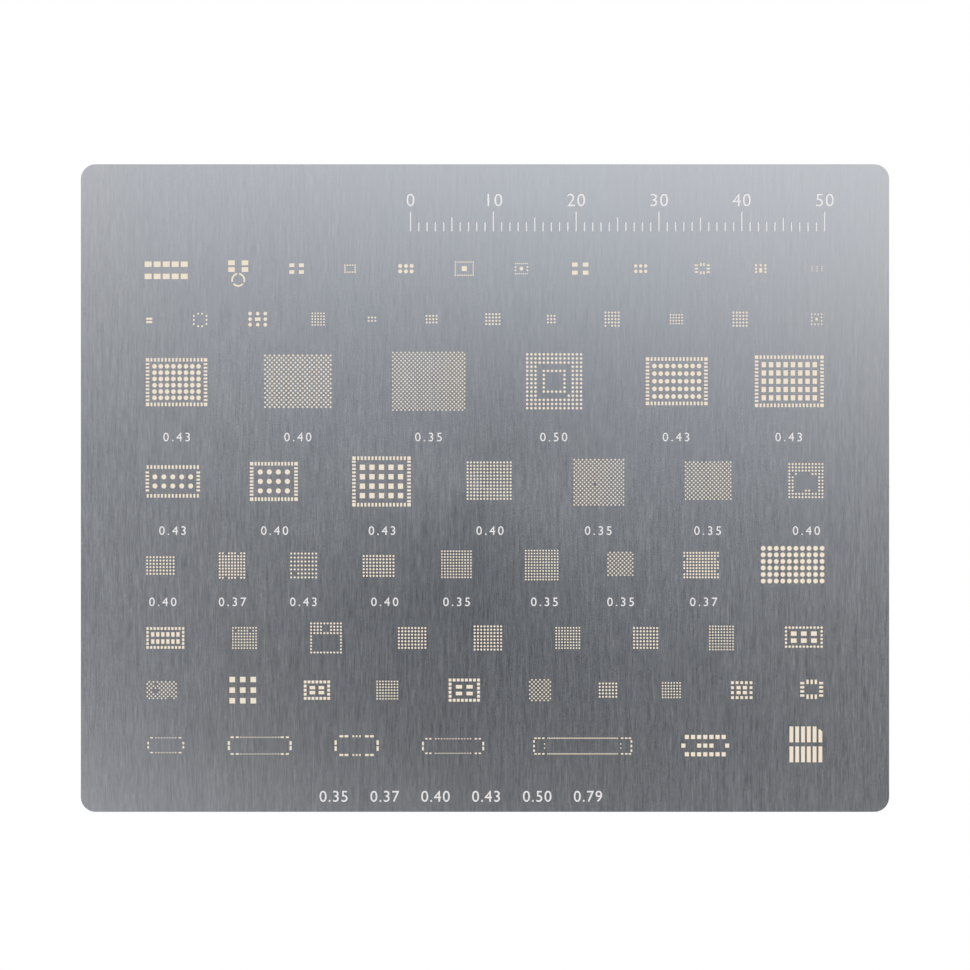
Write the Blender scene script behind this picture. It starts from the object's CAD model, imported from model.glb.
"""Looks of the solder paste stencil: a fine brushed steel sheet with warm cut
walls and half-etched plain numbers, lit softly and seen from straight above.
All lengths are in metres."""
import math

import bpy
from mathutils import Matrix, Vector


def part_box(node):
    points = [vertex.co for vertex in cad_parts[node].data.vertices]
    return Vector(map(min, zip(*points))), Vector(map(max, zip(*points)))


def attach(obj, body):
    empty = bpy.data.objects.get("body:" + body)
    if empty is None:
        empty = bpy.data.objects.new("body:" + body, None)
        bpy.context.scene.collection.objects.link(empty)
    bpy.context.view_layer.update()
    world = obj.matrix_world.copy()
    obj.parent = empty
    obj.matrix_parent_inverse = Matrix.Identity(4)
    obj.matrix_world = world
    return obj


MM = 0.001

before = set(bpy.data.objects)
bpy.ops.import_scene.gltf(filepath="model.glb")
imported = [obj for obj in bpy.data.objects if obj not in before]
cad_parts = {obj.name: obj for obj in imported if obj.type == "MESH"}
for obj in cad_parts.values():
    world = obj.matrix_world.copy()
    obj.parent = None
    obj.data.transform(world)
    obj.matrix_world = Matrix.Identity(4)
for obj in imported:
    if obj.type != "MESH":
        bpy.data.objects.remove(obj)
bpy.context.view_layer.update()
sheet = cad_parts["stencil_sheet"]
low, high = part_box("stencil_sheet")
top = high.z
half_w = high.x
half_h = high.y

# Camera, straight above the sheet
CAMERA_HEIGHT = 0.3
VIEW_WIDTH = 1.2 * (high.x - low.x)
CAMERA_Y = 0.37 * MM
SENSOR = 36.0


# ---------- shader helpers ----------

def new_material(name):
    """An empty node material, its node tree and its output."""
    mat = bpy.data.materials.new(name)
    mat.use_nodes = True
    tree = mat.node_tree
    tree.nodes.clear()
    out = tree.nodes.new("ShaderNodeOutputMaterial")
    return mat, tree, out


def put(tree, socket, value):
    """Feeds a socket with another socket or with a plain value."""
    if isinstance(value, bpy.types.NodeSocket):
        tree.links.new(value, socket)
    else:
        socket.default_value = value


def maths(tree, operation, a, b=0.0):
    node = tree.nodes.new("ShaderNodeMath")
    node.operation = operation
    put(tree, node.inputs[0], a)
    put(tree, node.inputs[1], b)
    return node.outputs[0]


def blend_colours(tree, factor, a, b):
    node = tree.nodes.new("ShaderNodeMix")
    node.data_type = "RGBA"
    put(tree, node.inputs["Factor"], factor)
    put(tree, node.inputs["A"], a)
    put(tree, node.inputs["B"], b)
    return node.outputs["Result"]


def noise(tree, vector, scale, detail=2.0):
    node = tree.nodes.new("ShaderNodeTexNoise")
    node.inputs["Scale"].default_value = scale
    node.inputs["Detail"].default_value = detail
    put(tree, node.inputs["Vector"], vector)
    return node.outputs["Fac"]


def spread(tree, value, from_low, from_high, to_low, to_high):
    node = tree.nodes.new("ShaderNodeMapRange")
    put(tree, node.inputs["Value"], value)
    node.inputs["From Min"].default_value = from_low
    node.inputs["From Max"].default_value = from_high
    node.inputs["To Min"].default_value = to_low
    node.inputs["To Max"].default_value = to_high
    return node.outputs["Result"]


def stretched(tree, scale):
    """Object coordinates in millimetres, stretched by scale."""
    place = tree.nodes.new("ShaderNodeTexCoord")
    mapping = tree.nodes.new("ShaderNodeMapping")
    mapping.inputs["Scale"].default_value = [s / MM for s in scale]
    tree.links.new(place.outputs["Object"], mapping.inputs["Vector"])
    return mapping.outputs["Vector"]


def metal(tree, colour, roughness, bump=None, anisotropic=0.0):
    node = tree.nodes.new("ShaderNodeBsdfPrincipled")
    node.inputs["Metallic"].default_value = 1.0
    put(tree, node.inputs["Base Color"], colour)
    put(tree, node.inputs["Roughness"], roughness)
    node.inputs["Anisotropic"].default_value = anisotropic
    if bump is not None:
        tree.links.new(bump, node.inputs["Normal"])
    return node.outputs["BSDF"]


# ---------- materials ----------

def sheet_steel():
    """Steel brushed along Y, with oxide-tinted walls where it is cut."""
    mat, tree, out = new_material("sheet_steel_brushed")
    fine_lines = noise(tree, stretched(tree, (9, 0.5, 1)), 1.0, 3.0)
    broad_lines = noise(tree, stretched(tree, (2.2, 0.12, 1)), 1.0, 2.0)
    mottle = noise(tree, stretched(tree, (3.5, 3.5, 1)), 1.0, 3.0)
    clouds = noise(tree, stretched(tree, (0.05, 0.03, 1)), 1.0, 1.0)
    grain = maths(tree, "ADD", maths(tree, "MULTIPLY", fine_lines, 0.5),
                  maths(tree, "ADD", maths(tree, "MULTIPLY", broad_lines, 0.25),
                        maths(tree, "MULTIPLY", mottle, 0.25)))
    shade = spread(tree, grain, 0.3, 0.7, 0.0, 1.0)
    steel = blend_colours(tree, shade, (0.50, 0.53, 0.575, 1), (0.60, 0.63, 0.675, 1))
    tinted = blend_colours(tree, spread(tree, clouds, 0.35, 0.65, 0.0, 0.12),
                           steel, (0.50, 0.56, 0.66, 1))
    bump = tree.nodes.new("ShaderNodeBump")
    bump.inputs["Strength"].default_value = 0.12
    bump.inputs["Distance"].default_value = 0.003 * MM
    tree.links.new(grain, bump.inputs["Height"])
    face = metal(tree, tinted, spread(tree, grain, 0.3, 0.7, 0.17, 0.25),
                 bump.outputs["Normal"], 0.35)

    burn = noise(tree, stretched(tree, (6, 6, 30)), 1.0, 2.0)
    wall_colour = blend_colours(tree, burn, (0.62, 0.46, 0.26, 1), (0.86, 0.76, 0.56, 1))
    wall = metal(tree, wall_colour, 0.45)

    geometry = tree.nodes.new("ShaderNodeNewGeometry")
    axes = tree.nodes.new("ShaderNodeSeparateXYZ")
    tree.links.new(geometry.outputs["True Normal"], axes.inputs[0])
    upright = maths(tree, "LESS_THAN", maths(tree, "ABSOLUTE", axes.outputs["Z"]), 0.5)
    mix = tree.nodes.new("ShaderNodeMixShader")
    tree.links.new(upright, mix.inputs["Fac"])
    tree.links.new(face, mix.inputs[1])
    tree.links.new(wall, mix.inputs[2])
    tree.links.new(mix.outputs[0], out.inputs["Surface"])
    return mat


def etched_steel(name, light, dark, roughness):
    """The matt floor of a half-etched mark."""
    mat, tree, out = new_material(name)
    frost = noise(tree, stretched(tree, (8, 8, 1)), 1.0, 3.0)
    colour = blend_colours(tree, spread(tree, frost, 0.3, 0.7, 0.0, 1.0), dark, light)
    tree.links.new(metal(tree, colour, roughness), out.inputs["Surface"])
    return mat


def lit_surface(name, colour):
    """A stage surface that the camera sees as one even colour."""
    mat, tree, out = new_material(name)
    seen = tree.nodes.new("ShaderNodeEmission")
    seen.inputs["Color"].default_value = colour
    cast = tree.nodes.new("ShaderNodeBsdfDiffuse")
    cast.inputs["Color"].default_value = (0.9, 0.9, 0.9, 1)
    path = tree.nodes.new("ShaderNodeLightPath")
    mix = tree.nodes.new("ShaderNodeMixShader")
    tree.links.new(path.outputs["Is Camera Ray"], mix.inputs["Fac"])
    tree.links.new(cast.outputs[0], mix.inputs[1])
    tree.links.new(seen.outputs[0], mix.inputs[2])
    tree.links.new(mix.outputs[0], out.inputs["Surface"])
    return mat


# ---------- pieces ----------

def mesh_object(name, verts, faces, mat):
    mesh = bpy.data.meshes.new(name)
    mesh.from_pydata(verts, [], faces)
    mesh.update()
    obj = bpy.data.objects.new(name, mesh)
    bpy.context.scene.collection.objects.link(obj)
    obj.data.materials.append(mat)
    return obj


def text_mesh(body, size, spacing=1.0):
    """Vertices and faces of a flat line of text, centred on the origin."""
    curve = bpy.data.curves.new("line", "FONT")
    curve.body = body
    curve.size = size
    curve.space_character = spacing
    curve.align_x = "CENTER"
    curve.align_y = "CENTER"
    curve.resolution_u = 4
    obj = bpy.data.objects.new("line", curve)
    bpy.context.scene.collection.objects.link(obj)
    bpy.context.view_layer.update()
    graph = bpy.context.evaluated_depsgraph_get()
    mesh = bpy.data.meshes.new_from_object(obj.evaluated_get(graph))
    verts = [tuple(v.co) for v in mesh.vertices]
    faces = [tuple(p.vertices) for p in mesh.polygons]
    bpy.data.objects.remove(obj)
    bpy.data.meshes.remove(mesh)
    return verts, faces


# How high the marks lie over the sheet's face, and how their dark rim is offset
MARK_LIFT = 0.004 * MM
RIM_LIFT = 0.002 * MM
RIM_SHIFT = (-0.03 * MM, 0.05 * MM)


class Marks:
    """A set of flat marks that becomes one piece and its dark rim."""

    def __init__(self, name):
        self.name = name
        self.verts = []
        self.faces = []

    def add(self, verts, faces, x, y):
        start = len(self.verts)
        self.verts += [(vx + x, vy + y) for vx, vy, *_ in verts]
        self.faces += [tuple(start + i for i in face) for face in faces]

    def text(self, body, x, y, size, spacing=1.0):
        verts, faces = text_mesh(body, size, spacing)
        self.add(verts, faces, x, y)

    def bar(self, x, y, width, height):
        w = width / 2
        self.add([(-w, 0), (w, 0), (w, height), (-w, height)], [(0, 1, 2, 3)], x, y)

    def finish(self):
        for suffix, mat, lift, shift in (
            ("", ETCHED, MARK_LIFT, (0, 0)),
            ("_rim", ETCHED_RIM, RIM_LIFT, RIM_SHIFT),
        ):
            verts = [(x + shift[0], y + shift[1], top + lift) for x, y in self.verts]
            piece = mesh_object(self.name + suffix, verts, self.faces, mat)
            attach(piece, "root")


# Pitch numbers under the chips: letter height and spacing
LABEL_SIZE = 1.5 * MM
LABEL_SPACING = 1.35

# Millimetre scale: stroke width, stroke heights and its numbers
STROKE_W = 0.14 * MM
STROKE_TEN = 2.4
STROKE_FIVE = 1.7
STROKE_ONE = 1.1
NUMBER_RISE = 3.7
NUMBER_SIZE = 2.2 * MM


def pitch_labels(name, y, labels):
    """Plain pitch numbers under the chips, given as (x in mm, number)."""
    marks = Marks(name)
    for x, number in labels:
        marks.text(number, x * MM, y * MM, LABEL_SIZE, LABEL_SPACING)
    marks.finish()


def millimetre_scale(name, x0, y, length):
    """A ruled scale with a long stroke each 10 mm and a number over it."""
    marks = Marks(name)
    for i in range(length + 1):
        height = STROKE_TEN if i % 10 == 0 else STROKE_FIVE if i % 5 == 0 else STROKE_ONE
        marks.bar((x0 + i) * MM, y * MM, STROKE_W, height * MM)
        if i % 10 == 0:
            marks.text(str(i), (x0 + i) * MM, (y + NUMBER_RISE) * MM, NUMBER_SIZE, 1.1)
    marks.finish()


ETCHED = etched_steel("etched_floor", (0.95, 0.95, 0.96, 1), (0.80, 0.80, 0.82, 1), 0.55)
ETCHED_RIM = etched_steel("etched_rim", (0.34, 0.36, 0.40, 1), (0.26, 0.28, 0.32, 1), 0.5)

sheet.data.materials.clear()
sheet.data.materials.append(sheet_steel())

millimetre_scale("scale_marks", -9, 31, 50)
pitch_labels("labels_row_3", 6.1, [(-37.2, "0.43"), (-22.6, "0.40"), (-6.8, "0.35"),
                                   (8.3, "0.50"), (23.1, "0.43"), (36.7, "0.43")])
pitch_labels("labels_row_4", -5.2, [(-37.7, "0.43"), (-25.4, "0.40"), (-12.4, "0.43"),
                                    (0.6, "0.40"), (13.7, "0.35"), (26.9, "0.35"),
                                    (38.8, "0.40")])
pitch_labels("labels_row_5", -13.8, [(-38.9, "0.40"), (-30.5, "0.37"), (-21.9, "0.43"),
                                     (-12.1, "0.40"), (-3.4, "0.35"), (7.2, "0.35"),
                                     (16.4, "0.35"), (26.4, "0.37")])
foot = Marks("pitch_line")
foot.text("0.35    0.37    0.40    0.43    0.50    0.79", -2.9 * MM, -37.3 * MM, 1.9 * MM, 1.1)
foot.finish()


# ---------- stage ----------

def flat(name, w, h, z, mat):
    corners = [(-w, -h, z), (w, -h, z), (w, h, z), (-w, h, z)]
    obj = mesh_object(name, corners, [(0, 1, 2, 3)], mat)
    return obj


FLOOR_HALF = 0.6
FLOOR_Z = -0.02 * MM
CARD_Z = -0.01 * MM
CARD_MARGIN = 0.6 * MM
flat("stage_floor", FLOOR_HALF, FLOOR_HALF, FLOOR_Z, lit_surface("stage_white", (1, 1, 1, 1)))
flat("stage_card", half_w - CARD_MARGIN, half_h - CARD_MARGIN, CARD_Z,
     lit_surface("cream_card", (0.86, 0.76, 0.62, 1)))


def studio_world():
    """White light all round, which the steel reflects as a soft gradient from a
    bright top edge to a dark lower half."""
    world = bpy.data.worlds.new("studio")
    bpy.context.scene.world = world
    world.use_nodes = True
    tree = world.node_tree
    tree.nodes.clear()
    out = tree.nodes.new("ShaderNodeOutputWorld")
    white = tree.nodes.new("ShaderNodeBackground")
    white.inputs["Color"].default_value = (1, 1, 1, 1)

    place = tree.nodes.new("ShaderNodeTexCoord")
    axes = tree.nodes.new("ShaderNodeSeparateXYZ")
    tree.links.new(place.outputs["Generated"], axes.inputs[0])
    # Where a ray would have left the sheet, in tenths of a metre from its middle
    height = maths(tree, "MAXIMUM", axes.outputs["Z"], 0.3)
    reach = CAMERA_HEIGHT * 10
    x = maths(tree, "MULTIPLY", maths(tree, "DIVIDE", axes.outputs["X"], height), reach)
    y = maths(tree, "MULTIPLY", maths(tree, "DIVIDE", axes.outputs["Y"], height), reach)
    terms = [
        (GRADIENT["level"], None, None),
        (GRADIENT["x"], x, None),
        (GRADIENT["y"], y, None),
        (GRADIENT["xy"], x, y),
        (GRADIENT["xx"], x, x),
        (GRADIENT["yy"], y, y),
    ]
    total = 0.0
    for weight, a, b in terms:
        term = weight
        if a is not None:
            term = maths(tree, "MULTIPLY", a, weight)
        if b is not None:
            term = maths(tree, "MULTIPLY", term, b)
        total = maths(tree, "ADD", total, term)
    total = maths(tree, "MINIMUM", maths(tree, "MAXIMUM", total, LEAST_GLOW), MOST_GLOW)
    radius = maths(tree, "ADD", maths(tree, "MULTIPLY", x, x), maths(tree, "MULTIPLY", y, y))
    tint = blend_colours(tree, spread(tree, radius, 0.0, 0.3, 0.0, 1.0),
                         (0.95, 1.0, 1.06, 1), (1.03, 1.0, 0.98, 1))
    glow = tree.nodes.new("ShaderNodeBackground")
    tree.links.new(tint, glow.inputs["Color"])
    tree.links.new(total, glow.inputs["Strength"])

    path = tree.nodes.new("ShaderNodeLightPath")
    mix = tree.nodes.new("ShaderNodeMixShader")
    tree.links.new(path.outputs["Is Glossy Ray"], mix.inputs["Fac"])
    tree.links.new(white.outputs[0], mix.inputs[1])
    tree.links.new(glow.outputs[0], mix.inputs[2])
    tree.links.new(mix.outputs[0], out.inputs["Surface"])


# Brightness of the reflected studio over the sheet, by place in tenths of a metre.
# The weights were fitted to the photograph's shading and rounded.
LEAST_GLOW = 0.05
MOST_GLOW = 1.1
GRADIENT = {"level": 0.13, "x": 0.1, "y": 1.15, "xy": 1.05, "xx": 0.4, "yy": 2.65}
studio_world()

camera_data = bpy.data.cameras.new("camera")
camera_data.sensor_width = SENSOR
camera_data.lens = SENSOR * CAMERA_HEIGHT / VIEW_WIDTH
camera = bpy.data.objects.new("camera", camera_data)
bpy.context.scene.collection.objects.link(camera)
camera.location = (0, CAMERA_Y, top + CAMERA_HEIGHT)
bpy.context.scene.camera = camera

scene = bpy.context.scene
scene.view_settings.view_transform = "Standard"
scene.view_settings.look = "None"
